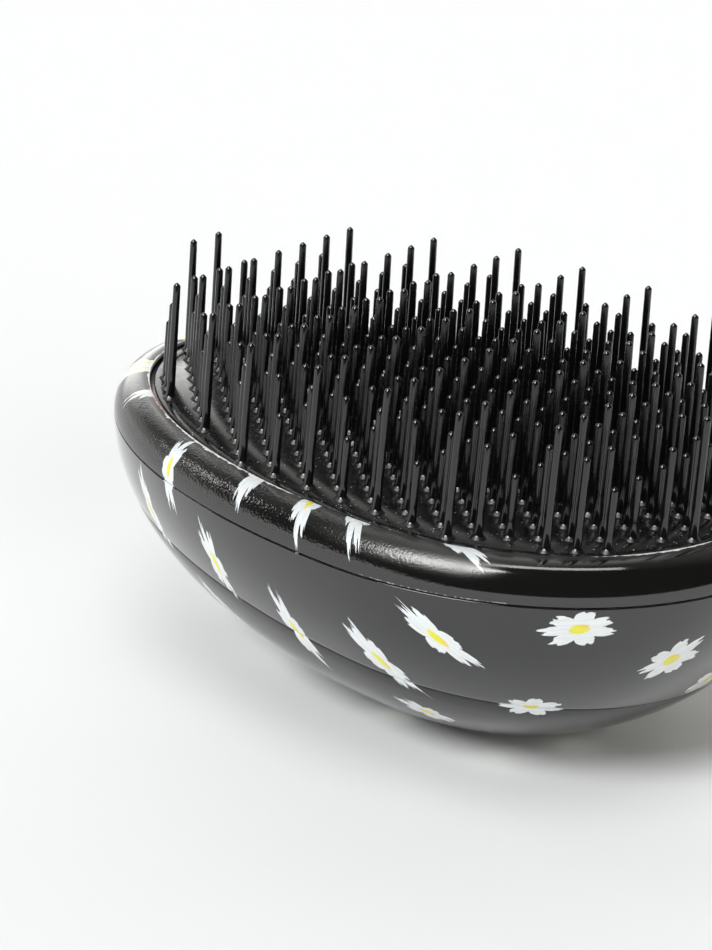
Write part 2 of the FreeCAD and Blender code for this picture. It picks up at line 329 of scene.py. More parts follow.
def print_daisies(piece, along_shares, rises):
    """Stores, at each face corner, the place within the nearest flower and how far it was pulled."""
    mesh = piece.data
    count = len(mesh.vertices)
    along = np.tile(ALONG, count // COLUMNS + 1)[:count]
    share = np.concatenate([np.ravel(along_shares), np.zeros(count)])[:count]
    rise = np.concatenate([np.ravel(rises), np.full(count, NO_RISE)])[:count]
    corners = np.zeros(len(mesh.loops), int)
    mesh.loops.foreach_get("vertex_index", corners)
    sizes = np.zeros(len(mesh.polygons), int)
    mesh.polygons.foreach_get("loop_total", sizes)
    starts = np.concatenate([[0], np.cumsum(sizes)[:-1]])
    local = np.tile(np.array(NO_DAISY), (len(corners), 1))
    pull = np.zeros(len(corners))
    nearest = np.full(len(sizes), DAISY_REACH_SHARE)
    for angle, height, turn, length, width, seed, stretch in daisies():
        centre = np.interp(math.radians(angle), plan_angles(), ALONG)
        side = ((along - centre + ROUND / 2) % ROUND - ROUND / 2) * share
        up = rise - height
        x = (side * math.cos(turn) + up * math.sin(turn)) / length
        y = (up * math.cos(turn) - side * math.sin(turn)) / width
        middle = np.add.reduceat(np.hypot(x, y)[corners], starts) / sizes
        won = middle < nearest
        nearest[won] = middle[won]
        mine = np.repeat(won, sizes)
        local[mine] = np.stack([x[corners], y[corners], np.full(len(corners), seed)], 1)[mine]
        pull[mine] = stretch
    mesh.attributes.new("daisy", "FLOAT_VECTOR", "CORNER").data.foreach_set("vector", local.ravel())
    mesh.attributes.new("pull", "FLOAT", "CORNER").data.foreach_set("value", pull)


# Materials


class Graph:
    """Short calls that add shader nodes to one material or world."""

    def __init__(self, tree):
        self.tree = tree

    def node(self, kind, **settings):
        made = self.tree.nodes.new(kind)
        for key, value in settings.items():
            setattr(made, key, value)
        return made

    def feed(self, socket, value):
        if isinstance(value, bpy.types.NodeSocket):
            self.tree.links.new(value, socket)
        else:
            socket.default_value = value

    def math(self, operation, *values):
        made = self.node("ShaderNodeMath", operation=operation)
        for socket, value in zip(made.inputs, values):
            self.feed(socket, value)
        return made.outputs[0]

    def ease(self, value, start, end, first=0.0, last=1.0):
        """A smooth change from first to last while the value goes from start to end."""
        made = self.node("ShaderNodeMapRange", interpolation_type="SMOOTHSTEP")
        for socket, number in zip(made.inputs, (value, start, end, first, last)):
            self.feed(socket, number)
        return made.outputs[0]

    def mix(self, share, first, second):
        made = self.node("ShaderNodeMix", data_type="RGBA")
        for index, value in ((0, share), (6, first), (7, second)):
            self.feed(made.inputs[index], value)
        return made.outputs[2]

    def place(self):
        return self.node("ShaderNodeTexCoord").outputs["Object"]

    def stored(self, name):
        """A number that was stored on the mesh."""
        return self.node("ShaderNodeAttribute", attribute_name=name).outputs["Fac"]

    def stretch(self, place, x, y, z):
        made = self.node("ShaderNodeVectorMath", operation="MULTIPLY")
        self.feed(made.inputs[0], place)
        made.inputs[1].default_value = (x, y, z)
        return made.outputs[0]

    def noise(self, place, scale, detail=2.0, roughness=0.5):
        made = self.node("ShaderNodeTexNoise")
        self.feed(made.inputs["Vector"], place)
        made.inputs["Scale"].default_value = scale
        made.inputs["Detail"].default_value = detail
        made.inputs["Roughness"].default_value = roughness
        return made.outputs[0]

    def bump(self, height, distance, strength=1.0, under=None):
        """A bump in metres. The strength is one number or a socket."""
        made = self.node("ShaderNodeBump")
        self.feed(made.inputs["Height"], height)
        made.inputs["Distance"].default_value = distance
        self.feed(made.inputs["Strength"], strength)
        if under is not None:
            self.feed(made.inputs["Normal"], under)
        return made.outputs[0]


def new_material(name):
    material = bpy.data.materials.new(name)
    material.use_nodes = True
    graph = Graph(material.node_tree)
    return material, graph, material.node_tree.nodes["Principled BSDF"]


# Printed flower. Lengths are shares of its half length and half width.
PETALS = 7
PETAL_TURN = 1.7
PETAL_POWER = 0.45
PETAL_LENGTH = 0.40
PETAL_START = 0.42
PETAL_SOFTNESS = 0.025
NOTCH_SPAN = (0.86, 1.0)
NOTCH_DEPTH = 0.10
WANDER_STRETCH = (1.1, 1.1, 3.7)
WANDER_REACH = 0.3
COMB_STRETCH = (0.35, 4.2, 1.9)
COMB_ROUGHNESS = 0.6
COMB_REACH = 2.2
STREAK_STRETCH = (0.8, 7.0, 2.3)
STREAK_SPAN = (0.35, 0.75)
CORE_WAVER = 0.3
CORE_SPAN = (0.45, 0.36)
ORANGE_SPAN = (-0.05, -0.3)
PETAL_WHITE = (0.81, 0.83, 0.82, 1)
PETAL_SHADE = (0.66, 0.71, 0.76, 1)
CENTRE_YELLOW = (0.78, 0.74, 0.03, 1)
CENTRE_ORANGE = (0.82, 0.58, 0.05, 1)


def with_daisies(graph, ground):
    """The ground colour with the printed flowers over it."""
    local = graph.node("ShaderNodeAttribute", attribute_name="daisy").outputs["Vector"]
    pull = graph.stored("pull")
    split = graph.node("ShaderNodeSeparateXYZ")
    graph.feed(split.inputs[0], local)
    x, y, seed = split.outputs
    flat = graph.stretch(local, 1, 1, 0)
    length = graph.node("ShaderNodeVectorMath", operation="LENGTH")
    graph.feed(length.inputs[0], flat)
    radius = length.outputs["Value"]
    angle = graph.math("ARCTAN2", y, x)
    turn = graph.math("MULTIPLY", seed, PETAL_TURN)
    wave = graph.math("COSINE", graph.math("MULTIPLY_ADD", angle, PETALS, turn))
    lobe = graph.math("POWER", graph.math("MULTIPLY_ADD", wave, 0.5, 0.5), PETAL_POWER)
    notch = graph.math("MULTIPLY", graph.ease(wave, *NOTCH_SPAN), NOTCH_DEPTH)
    wander = graph.noise(graph.stretch(local, *WANDER_STRETCH), 1.0)
    outline = graph.math("MULTIPLY_ADD", lobe, PETAL_LENGTH, PETAL_START)
    outline = graph.math("ADD", outline, graph.math("MULTIPLY", wander, WANDER_REACH))
    outline = graph.math("SUBTRACT", outline, notch)
    comb = graph.noise(graph.stretch(local, *COMB_STRETCH), 1.0, detail=3.0, roughness=COMB_ROUGHNESS)
    along = graph.math("MULTIPLY", graph.math("ABSOLUTE", x), pull)
    torn = graph.math("MULTIPLY", graph.math("SUBTRACT", comb, 0.5), along)
    edge = graph.math("MULTIPLY_ADD", torn, COMB_REACH, outline)
    petal = graph.ease(graph.math("SUBTRACT", edge, radius), -PETAL_SOFTNESS, PETAL_SOFTNESS)
    streaks = graph.noise(graph.stretch(local, *STREAK_STRETCH), 1.0, detail=3.0)
    white = graph.mix(graph.ease(streaks, *STREAK_SPAN), PETAL_WHITE, PETAL_SHADE)
    core_edge = graph.math("MULTIPLY_ADD", streaks, CORE_WAVER, radius)
    core = graph.ease(core_edge, *CORE_SPAN)
    orange = graph.ease(graph.math("ADD", x, y), *ORANGE_SPAN)
    yellow = graph.mix(orange, CENTRE_YELLOW, CENTRE_ORANGE)
    flower = graph.mix(core, white, yellow)
    return graph.mix(petal, ground, flower)


# Lacquer on the side shell and the palm cover
LACQUER_BLACK = (0.003, 0.003, 0.003, 1)
LACQUER_DEEP = (0.006, 0.006, 0.0055, 1)
SHELL_IOR = 1.68
PALM_IOR = 1.57
COAT_IOR = 1.3
COAT_ROUGHNESS = 0.05
SHELL_HAZE_SCALE = 60.0
SHELL_HAZE_SPAN = (0.3, 0.7)
SHELL_GLOSS = (0.045, 0.075)
RIPPLE_SCALE = 220.0
RIPPLE_HEIGHT = 0.00002
SHELL_GRAIN_SCALE = 2600.0
SHELL_GRAIN_HEIGHT = 0.0000008


def shell_lacquer(name, ior, coat):
    material, graph, shader = new_material(name)
    place = graph.place()
    haze = graph.noise(place, SHELL_HAZE_SCALE, detail=3.0)
    ground = graph.mix(haze, LACQUER_BLACK, LACQUER_DEEP)
    graph.feed(shader.inputs["Base Color"], with_daisies(graph, ground))
    graph.feed(shader.inputs["Roughness"], graph.ease(haze, *SHELL_HAZE_SPAN, *SHELL_GLOSS))
    shader.inputs["IOR"].default_value = ior
    shader.inputs["Coat Weight"].default_value = coat
    shader.inputs["Coat Roughness"].default_value = COAT_ROUGHNESS
    shader.inputs["Coat IOR"].default_value = COAT_IOR
    ripple = graph.bump(graph.noise(place, RIPPLE_SCALE, detail=1.0), RIPPLE_HEIGHT)
    fine = graph.noise(place, SHELL_GRAIN_SCALE)
    graph.feed(shader.inputs["Normal"], graph.bump(fine, SHELL_GRAIN_HEIGHT, under=ripple))
    return material


# Orange peel, frosting, worn seam and torn print on the rim, with a painted highlight along the inner
# edge near the near end. Angles are plan angles from the near end, and rises are distances over the
# surface above the girth.
GRAIN_ANGLES = (0, 60, 75, 100, 118, 132, 180)
GRAIN_LEVELS = (0.04, 0.05, 0.48, 0.8, 1.0, 0.4, 0.25)
GRAIN_RISES = (0.6, 2.6)
GRAIN_LOW_SHARE = 0.35
FROST_ANGLES = (0, 57, 66, 88, 98, 125, 180)
FROST_LEVELS = (0.01, 0.01, 0.26, 0.20, 0.03, 0.0, 0.0)
FROST_RISES = (1.2, 2.7)
LAND_RISES = (5.9, 6.9)
LAND_FROST = 0.38
# Tear level round the rim: white torn film, and from the near end to about 45 degrees a painted highlight line
# along the inner edge
TEAR_AND_HIGHLIGHT_ANGLES = (0, 30, 42, 50, 92, 100, 106, 122, 130, 180)
TEAR_AND_HIGHLIGHT_LEVELS = (1.3, 1.3, 0.7, 0.2, 0.3, 0.8, 1.35, 1.35, 1.1, 0.9)
WORN_ANGLES = (0, 54, 60, 80, 88, 180)
WORN_LEVELS = (0.0, 0.0, 1.0, 1.0, 0.0, 0.0)
PINK_ANGLES = (0, 132, 138, 150, 156, 180)
PINK_LEVELS = (0.0, 0.0, 1.0, 1.0, 0.0, 0.0)

# Lacquer on the rim
# White of the torn film and the scuffs, also used for the painted highlight line along the inner edge
FILM_TORN_WHITE_AND_HIGHLIGHT = (0.88, 0.88, 0.86, 1)
FILM_TORN_PINK = (0.85, 0.45, 0.36, 1)
RIM_IOR = 1.8
RIM_GLOSS = 0.065
RIM_GLOSS_WAVER = 0.02
RIM_HAZE_SCALE = 70.0
CHIP_SCALE = 900.0
CHIP_ROUGHNESS = 0.65
FLECK_SCALE = 150.0
FLECK_EASE = (0.58, 0.68, 0.0, 0.7)
TORN_RISES = (7.82, 7.90)
PINK_SCALE = 60.0
PINK_SPAN = (0.4, 0.55)
SCUFF_SCALE = 2200.0
SCUFF_EASE = (0.45, 0.65, 0.0, 0.4)
SCUFF_RISES = (-0.2, -0.3)
PEEL_SCALE = 3000.0
PEEL_HEIGHT = 0.00008


def rim_lacquer():
    """The same film on the rim, where it has an orange-peel grain and is torn along the inner edge. Near the near
    end the white along the inner edge is a painted highlight.
    """
    material, graph, shader = new_material("grained_black_print")
    place = graph.place()
    haze = graph.noise(place, RIM_HAZE_SCALE, detail=3.0)
    ground = graph.mix(haze, LACQUER_BLACK, LACQUER_DEEP)
    printed = with_daisies(graph, ground)
    rise = graph.stored("rise")
    tear_and_edge_highlight = graph.stored("tear_and_edge_highlight")
    chips = graph.noise(place, CHIP_SCALE, detail=3.0, roughness=CHIP_ROUGHNESS)
    patches = graph.ease(graph.noise(place, FLECK_SCALE, detail=3.0), *FLECK_EASE)
    flecks = graph.math("MULTIPLY", patches, graph.math("MINIMUM", tear_and_edge_highlight, 1.0))
    depth = graph.math("ADD", graph.math("MULTIPLY_ADD", chips, tear_and_edge_highlight, rise), flecks)
    # The white along the inner edge is torn film, and near the near end a painted highlight
    torn = graph.ease(depth, *TORN_RISES)
    blush = graph.ease(graph.noise(place, PINK_SCALE), *PINK_SPAN)
    pink = graph.math("MULTIPLY", blush, graph.stored("pink"))
    base = graph.mix(pink, FILM_TORN_WHITE_AND_HIGHLIGHT, FILM_TORN_PINK)
    scuffs = graph.ease(graph.noise(place, SCUFF_SCALE, detail=3.0), *SCUFF_EASE)
    low_edge = graph.math("MULTIPLY", graph.ease(rise, *SCUFF_RISES), graph.stored("worn"))
    bare = graph.math("MAXIMUM", torn, graph.math("MULTIPLY", scuffs, low_edge))
    graph.feed(shader.inputs["Base Color"], graph.mix(bare, printed, base))
    grain = graph.noise(place, PEEL_SCALE, detail=1.0)
    rough = graph.math("MULTIPLY_ADD", grain, RIM_GLOSS_WAVER, graph.stored("frost"))
    graph.feed(shader.inputs["Roughness"], rough)
    shader.inputs["IOR"].default_value = RIM_IOR
    peel = graph.bump(grain, PEEL_HEIGHT, strength=graph.stored("grain"))
    graph.feed(shader.inputs["Normal"], peel)
    return material


# Satin plate with dust on it
PLATE_BLACK = (0.003, 0.003, 0.003, 1)
PLATE_DEEP = (0.008, 0.008, 0.008, 1)
PLATE_MOTTLE_SCALE = 900.0
PLATE_MOTTLE_ROUGHNESS = 0.7
PLATE_MOTTLE_SPAN = (0.3, 0.75)
PLATE_MOTTLE_HEIGHT = 0.000002
PLATE_SATIN = (0.20, 0.28)
PLATE_IOR = 1.5
DUST_WHITE = (0.60, 0.60, 0.58, 1)
DUST_SCALE = 2200.0
DUST_VARIETY = 0.6
DUST_SPAN = (0.29, 0.24)


def plate_plastic():
    material, graph, shader = new_material("satin_black_plate")
    place = graph.place()
    mottle = graph.noise(place, PLATE_MOTTLE_SCALE, detail=4.0, roughness=PLATE_MOTTLE_ROUGHNESS)
    ground = graph.mix(mottle, PLATE_BLACK, PLATE_DEEP)
    dust = graph.node("ShaderNodeTexVoronoi")
    graph.feed(dust.inputs["Vector"], place)
    dust.inputs["Scale"].default_value = DUST_SCALE
    speck = graph.math("MULTIPLY_ADD", dust.outputs["Color"], DUST_VARIETY, dust.outputs["Distance"])
    dusty = graph.mix(graph.ease(speck, *DUST_SPAN), ground, DUST_WHITE)
    graph.feed(shader.inputs["Base Color"], dusty)
    graph.feed(shader.inputs["Roughness"], graph.ease(mottle, *PLATE_MOTTLE_SPAN, *PLATE_SATIN))
    shader.inputs["IOR"].default_value = PLATE_IOR
    graph.feed(shader.inputs["Normal"], graph.bump(mottle, PLATE_MOTTLE_HEIGHT))
    return material


# Teeth
TOOTH_BLACK = (0.002, 0.002, 0.002, 1)
TOOTH_DEEP = (0.006, 0.006, 0.006, 1)
TOOTH_IOR = 1.64
FLOW_STRETCH = (1, 1, 0.06)
FLOW_SCALE = 1600.0
FLOW_SPAN = (0.3, 0.75)
FLOW_HEIGHT = 0.000004
TOOTH_GLOSS = (0.05, 0.1)
FOOT_ROUGHNESS = 0.3
FOOT_GRAIN_SCALE = 4200.0
FOOT_GRAIN_HEIGHT = 0.00006


def tooth_plastic():
    """Gloss plastic that is grainy on the fillet at the foot of each tooth."""
    material, graph, shader = new_material("gloss_black_teeth")
    place = graph.place()
    flow = graph.noise(graph.stretch(place, *FLOW_STRETCH), FLOW_SCALE, detail=2.0)
    graph.feed(shader.inputs["Base Color"], graph.mix(flow, TOOTH_BLACK, TOOTH_DEEP))
    foot = graph.stored("foot")
    gloss = graph.ease(flow, *FLOW_SPAN, *TOOTH_GLOSS)
    graph.feed(shader.inputs["Roughness"], graph.math("MULTIPLY_ADD", foot, FOOT_ROUGHNESS, gloss))
    shader.inputs["IOR"].default_value = TOOTH_IOR
    fine = graph.noise(place, FOOT_GRAIN_SCALE, detail=1.0)
    grain = graph.bump(fine, FOOT_GRAIN_HEIGHT, strength=foot)
    graph.feed(shader.inputs["Normal"], graph.bump(flow, FLOW_HEIGHT, under=grain))
    return material


# Backing plate inside
BACKING_GREY = (0.035, 0.036, 0.038, 1)
BACKING_PALE = (0.060, 0.061, 0.064, 1)
BACKING_MOTTLE_SCALE = 240.0
BACKING_MOTTLE_SPAN = (0.3, 0.7)
BACKING_MATT = (0.45, 0.6)
BACKING_GRAIN_SCALE = 1400.0
BACKING_GRAIN_HEIGHT = 0.00001


def backing_plastic():
    material, graph, shader = new_material("moulded_grey_backing")
    place = graph.place()
    mottle = graph.noise(place, BACKING_MOTTLE_SCALE, detail=4.0)
    graph.feed(shader.inputs["Base Color"], graph.mix(mottle, BACKING_GREY, BACKING_PALE))
    graph.feed(shader.inputs["Roughness"], graph.ease(mottle, *BACKING_MOTTLE_SPAN, *BACKING_MATT))
    fine = graph.noise(place, BACKING_GRAIN_SCALE)
    graph.feed(shader.inputs["Normal"], graph.bump(fine, BACKING_GRAIN_HEIGHT))
    return material


# Pieces


def store(piece, name, values):
    piece.data.attributes.new(name, "FLOAT", "POINT").data.foreach_set("value", values)


def dress(piece, material, slot_name, body, *nodes):
    piece.data.materials.append(material)
    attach(piece, body)
    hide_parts(*nodes)
    return piece


def rim_section():
    """(inset, level, rise) round the section of the bezel. The rise is NO_RISE where nothing is printed."""
    base = GIRTH - RIM_OVERHANG
    section = [(SKIRT_OUTSIDE, base, NO_RISE), (BASE_INSET, base, NO_RISE)]
    for turn in arc(-math.pi / 2, 0, LIP_STEPS):
        inset = LIP_ROUND * (1 - math.cos(turn))
        section.append((inset, base + LIP_ROUND * (1 + math.sin(turn)), -RIM_OVERHANG))
    section.append((0.0, GIRTH, 0.0))
    mean_radius = (CROWN_WIDTH + RIM_HEIGHT) / 2
    for turn in arc(math.radians(CROWN_START_DEG), math.pi / 2, CROWN_STEPS):
        inset = CROWN_WIDTH * (1 - math.cos(turn))
        section.append((inset, GIRTH + RIM_HEIGHT * math.sin(turn), mean_radius * turn))
    crest = mean_radius * math.pi / 2
    land = RIM_WIDTH - LIP_ROUND
    section.append((land, RIM_TOP, crest + land - CROWN_WIDTH))
    for turn in arc(0, math.pi / 2, LIP_STEPS)[1:]:
        inset = land + LIP_ROUND * math.sin(turn)
        level = RIM_TOP - LIP_ROUND * (1 - math.cos(turn))
        section.append((inset, level, crest + land - CROWN_WIDTH + LIP_ROUND * turn))
    lip_rise = crest + RIM_WIDTH - CROWN_WIDTH + RIM_TOP - LIP_UNDERSIDE
    skirt_end = GIRTH - SKIRT_DEPTH
    section.append((RIM_WIDTH, LIP_UNDERSIDE, lip_rise))
    section.append((POCKET_INSET, LIP_UNDERSIDE, NO_RISE))
    section.append((POCKET_INSET, GIRTH, NO_RISE))
    section.append((SKIRT_INSIDE, GIRTH, NO_RISE))
    section.append((SKIRT_INSIDE, skirt_end, NO_RISE))
    section.append((SKIRT_OUTSIDE, skirt_end, NO_RISE))
    return section


def make_rim():
    """The bezel: a closed section swept round the egg outline."""
    section = rim_section()
    rim = swept("rim_bezel", [egg_ring(inset, level) for inset, level, rise in section], closed=True)
    rises = np.repeat([rise for inset, level, rise in section], COLUMNS)
    shares = np.repeat([1 - inset / HALF_WIDTH for inset, level, rise in section], COLUMNS)
    print_daisies(rim, shares, rises)
    from_near = np.abs(np.degrees(plan_angles()))
    store(rim, "rise", rises)

    def round_rim(angles, levels):
        return np.tile(np.interp(from_near, angles, levels), len(section))

    # Near the near end the tear level paints a highlight line along the inner edge
    store(rim, "tear_and_edge_highlight", round_rim(TEAR_AND_HIGHLIGHT_ANGLES, TEAR_AND_HIGHLIGHT_LEVELS))
    store(rim, "pink", round_rim(PINK_ANGLES, PINK_LEVELS))
    store(rim, "worn", round_rim(WORN_ANGLES, WORN_LEVELS))
    grain_share = np.interp(rises, GRAIN_RISES, (GRAIN_LOW_SHARE, 1))
    store(rim, "grain", round_rim(GRAIN_ANGLES, GRAIN_LEVELS) * grain_share)
    frost = round_rim(FROST_ANGLES, FROST_LEVELS) * np.interp(rises, FROST_RISES, (0, 1))
    land_frost = np.interp(rises, LAND_RISES, (0, LAND_FROST))
    store(rim, "frost", RIM_GLOSS + np.maximum(frost, land_frost))
    return dress(rim, rim_lacquer(), "rim", BODY, "rim_ring")


def dome_section(stations):
    """Rings, along shares and rises for (depth angle, inset) stations on the dome."""
    rings = [dome_ring(angle, inset) for angle, inset in stations]
    shares = [np.cos(angle) + np.zeros(COLUMNS) for angle, inset in stations]
    rises = [-meridian_length(angle) + np.zeros(COLUMNS) for angle, inset in stations]
    return rings, shares, rises


def make_shell(lacquer):
    """The side wall between the seam and the joint line."""
    lip_level = GIRTH - RIM_OVERHANG - SEAM_GAP
    top = (GIRTH - lip_level + SEAM_ROUND) / DOME_DEPTH
    stations = []
    for share in np.linspace(0, 1, WALL_RINGS):
        stations.append((top + share * (LINE - SHELL_LIP / DOME_DEPTH - top), 0.0))
    for turn in arc(0, math.pi / 2, SHELL_LIP_STEPS)[1:]:
        inset = LINE_DEPTH * (1 - math.cos(turn))
        stations.append((LINE - SHELL_LIP * (1 - math.sin(turn)) / DOME_DEPTH, inset))
    stations.append((LINE, SHELL_WALL))
    beside_skirt = (SKIRT_DEPTH + HIDDEN_GAP) / DOME_DEPTH
    for share in INNER_WALL_SHARES:
        stations.append((beside_skirt + share * (LINE - beside_skirt), SHELL_WALL))
    stations.append((beside_skirt, SKIRT_OUTSIDE - HIDDEN_GAP))
    rings, shares, rises = dome_section(stations)
    lip = [egg_ring(SEAM_DEPTH, lip_level)]
    for turn in arc(math.pi / 2, 0, SEAM_STEPS)[:-1]:
        inset = SEAM_ROUND * (1 - math.cos(turn))
        lip.append(egg_ring(inset, lip_level - SEAM_ROUND * (1 - math.sin(turn))))
    head_level = GIRTH - RIM_OVERHANG - HIDDEN_GAP
    head = [egg_ring(SKIRT_OUTSIDE - HIDDEN_GAP, head_level), egg_ring(SEAM_DEPTH, head_level)]
    shell = swept("side_shell", head + lip + rings, closed=True)
    shares = [np.ones(COLUMNS)] * len(head + lip) + shares
    unprinted = [np.full(COLUMNS, NO_RISE)] * len(head)
    rises = unprinted + [np.zeros(COLUMNS)] * len(lip) + rises
    print_daisies(shell, np.concatenate(shares), np.concatenate(rises))
    return dress(shell, lacquer, "shell", BODY, "body_shell")


def make_cover(lacquer):
    """The palm dome below the joint line, flat where it rests."""
    flat_angle = math.asin(GIRTH / DOME_DEPTH)
    start = LINE + LINE_GAP / DOME_DEPTH
    stations = [(LINE, SHELL_WALL), (start - COVER_EDGE / DOME_DEPTH, COVER_EDGE_DEPTH)]
    for share in np.linspace(0, 1, DOME_RINGS):
        angle = start + share * (flat_angle - start)
        down = (angle - start) * DOME_DEPTH
        inset = LINE_DEPTH * np.clip(1 - down / COVER_SHOULDER, 0, 1) ** 2
        stations.append((angle, inset))
    rings, shares, rises = dome_section(stations)
    bottom = dome_ring(flat_angle, 0)
    for share in FLAT_SHARES:
        rings.append((bottom - bottom.mean(0)) * share + bottom.mean(0))
    inner = []
    for share in np.linspace(BOWL_START, 1, BOWL_RINGS)[:-1]:
        inner.append(dome_ring(math.pi / 2 - share * (math.pi / 2 - LINE), SHELL_WALL))
    cover = swept_cup("palm_cover", rings, inner)
    print_daisies(cover, np.concatenate(shares), np.concatenate(rises))
    return dress(cover, lacquer, "shell", BODY, "back_cover")


def make_plate():
    """The plate under the teeth, with a groove and a raised strip along the rim."""
    strip_end = STRIP_START + STRIP_WIDTH
    groove = PLATE_TOP - GROOVE_DEPTH
    strip = PLATE_TOP + STRIP_RISE
    bottom = PLATE_TOP - PLATE_THICKNESS
    bevel = STRIP_ROUND / 3
    section = [
        (PLATE_EDGE_INSET, bottom),
        (PLATE_EDGE_INSET, groove),
        (STRIP_START - STRIP_ROUND, groove),
        (STRIP_START, groove + STRIP_ROUND),
        (STRIP_START, strip - STRIP_ROUND),
        (STRIP_START + bevel, strip - bevel),
        (STRIP_START + STRIP_ROUND, strip),
        (strip_end - STRIP_ROUND, strip),
        (strip_end, strip - bevel),
        (strip_end + STRIP_ROUND, PLATE_TOP - STRIP_ROUND),
        (strip_end + 2 * STRIP_ROUND, PLATE_TOP),
    ]
    rings = [egg_ring(inset, level) for inset, level in section]
    edge = rings[-1]
    centre = edge.mean(0)
    rings += [(edge - centre) * share + centre for share in FIELD_SHARES]
    plate = swept("tooth_bed", rings, closed=False)
    return dress(plate, plate_plastic(), "plate", BODY, "tooth_plate")


def tooth_profile(length):
    """(radius, height) from the buried foot, up the flare and the shaft, to the round tip."""
    profile = [(0.0, -FLARE_SUNK), (FLARE_RADIUS, -FLARE_SUNK)]
    for step in range(FLARE_STEPS + 1):
        share = step / FLARE_STEPS
        radius = ROOT_RADIUS + (FLARE_RADIUS - ROOT_RADIUS) * (1 - share) ** FLARE_CURVE
        profile.append((radius, FLARE_HEIGHT * share))
    shoulder = length - TIP_RADIUS
    for share in SHAFT_SHARES:
        radius = ROOT_RADIUS + (TIP_RADIUS - ROOT_RADIUS) * share
        profile.append((radius, FLARE_HEIGHT + (shoulder - FLARE_HEIGHT) * share))
    for turn in arc(0, math.pi / 2, TIP_STEPS):
        across, up = (abs(part) ** (2 / TIP_POINT) for part in (math.cos(turn), math.sin(turn)))
        profile.append((TIP_RADIUS * across, shoulder + TIP_RADIUS * up))
    profile[-1] = (0.0, length)
    return profile


def lathe(profile):
    """Points and faces of one turned solid whose profile starts and ends on its axis."""
    around = np.linspace(0, 2 * math.pi, TOOTH_SIDES, endpoint=False)
    rings = [
        np.stack([radius * np.cos(around), radius * np.sin(around), np.full(TOOTH_SIDES, height)], 1)
        for radius, height in profile[1:-1]
    ]
    foot, tip = (np.array([[0, 0, height]]) for radius, height in (profile[0], profile[-1]))
    points = np.concatenate(rings + [foot, tip])
    faces = []
    for i in range(len(rings) - 1):
        faces += ring_faces(TOOTH_SIDES, i * TOOTH_SIDES, (i + 1) * TOOTH_SIDES)
    last = (len(rings) - 1) * TOOTH_SIDES
    foot_index = len(points) - 2
    faces += [(foot_index, (j + 1) % TOOTH_SIDES, j) for j in range(TOOTH_SIDES)]
    faces += [(foot_index + 1, last + j, last + (j + 1) % TOOTH_SIDES) for j in range(TOOTH_SIDES)]
    return points, faces


def make_tooth_row(joint, row_pitch, material):
    """One row of teeth across the brush, which rides on its own body."""
    body = joint["child"]
    node = frame["record"]["behaviour"]["bodies"][body][0]
    low, high = (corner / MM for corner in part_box(node))
    x, middle, root = (place / MM for place in joint["pos_m"])
    outermost = high.y - ROOT_RADIUS
    count = round(outermost / row_pitch) + 1
    turned, turned_faces = lathe(tooth_profile(high.z - root))
    points, faces = [], []
    for index in range(count):
        y = middle + row_pitch * (2 * index - count + 1)
        lean = math.atan2(y, LEAN_HEIGHT)
        across = turned[:, 1] * math.cos(lean) - turned[:, 2] * math.sin(lean)
        up = turned[:, 1] * math.sin(lean) + turned[:, 2] * math.cos(lean)
        offset = len(points) * len(turned)
        points.append(np.stack([turned[:, 0] + x, across + y, up + root], 1))
        faces += [tuple(vertex + offset for vertex in face) for face in turned_faces]
    row = mesh_object(node.replace("tooth", "teeth"), np.concatenate(points), faces)
    foot = np.interp(turned[:, 2], FOOT_GRAIN_HEIGHTS, (1, 0))
    store(row, "foot", np.tile(foot, count))
    return dress(row, material, "teeth", body, node)


def make_teeth():
    joints = frame["joints"]
    span = joints[-1]["pos_m"][0] - joints[0]["pos_m"][0]
    row_pitch = span / (len(joints) - 1) / MM
    material = tooth_plastic()
    for joint in joints:
        make_tooth_row(joint, row_pitch, material)


def finish_backing():
    """The stiff plate inside keeps its solid and gets a moulded finish."""
    backing = frame["nodes"]["backing_plate"]
    backing.data.materials.clear()
    backing.data.materials.append(backing_plastic())


# Stage, in metres and degrees

FLOOR_HALF = 6.0
FLOOR_WHITE = (0.945, 0.945, 0.945, 1)
FLOOR_BRIGHT = (0.95, 0.95, 0.95, 1)
FLOOR_GRAIN_SCALE = 40.0
FLOOR_ROUGHNESS = 0.9

# Lamps that only show in the gloss
GLOSS_COLOUR = (1.0, 0.995, 0.98)
SOFTBOX_TOWARDS = (-101, 63)
SOFTBOX_DISTANCE = 1.6
SOFTBOX_SIZE = (0.7, 0.7)
SOFTBOX_POWER = 21
OVERHEAD_PLACE = (0.0, 0.1, 1.45)
OVERHEAD_SIZE = (0.9, 0.2)
OVERHEAD_TURN_DEG = 57
OVERHEAD_POWER = 2.5

# Broad lamps without reflections: azimuth, elevation, power, angle across and colour
COOL_LIGHT = (0.98, 1.0, 1.015)
WARM_LIGHT = (1.0, 0.985, 0.91)
FILLS = {
    "front_fill": (-97, 38.5, 2.52, 22, COOL_LIGHT),
    "top_fill": (-78, 75, 0.52, 30, COOL_LIGHT),
    "side_fill": (-20, 24, 0.75, 40, WARM_LIGHT),
    "back_fill": (80, 22, 0.22, 40, WARM_LIGHT),
}

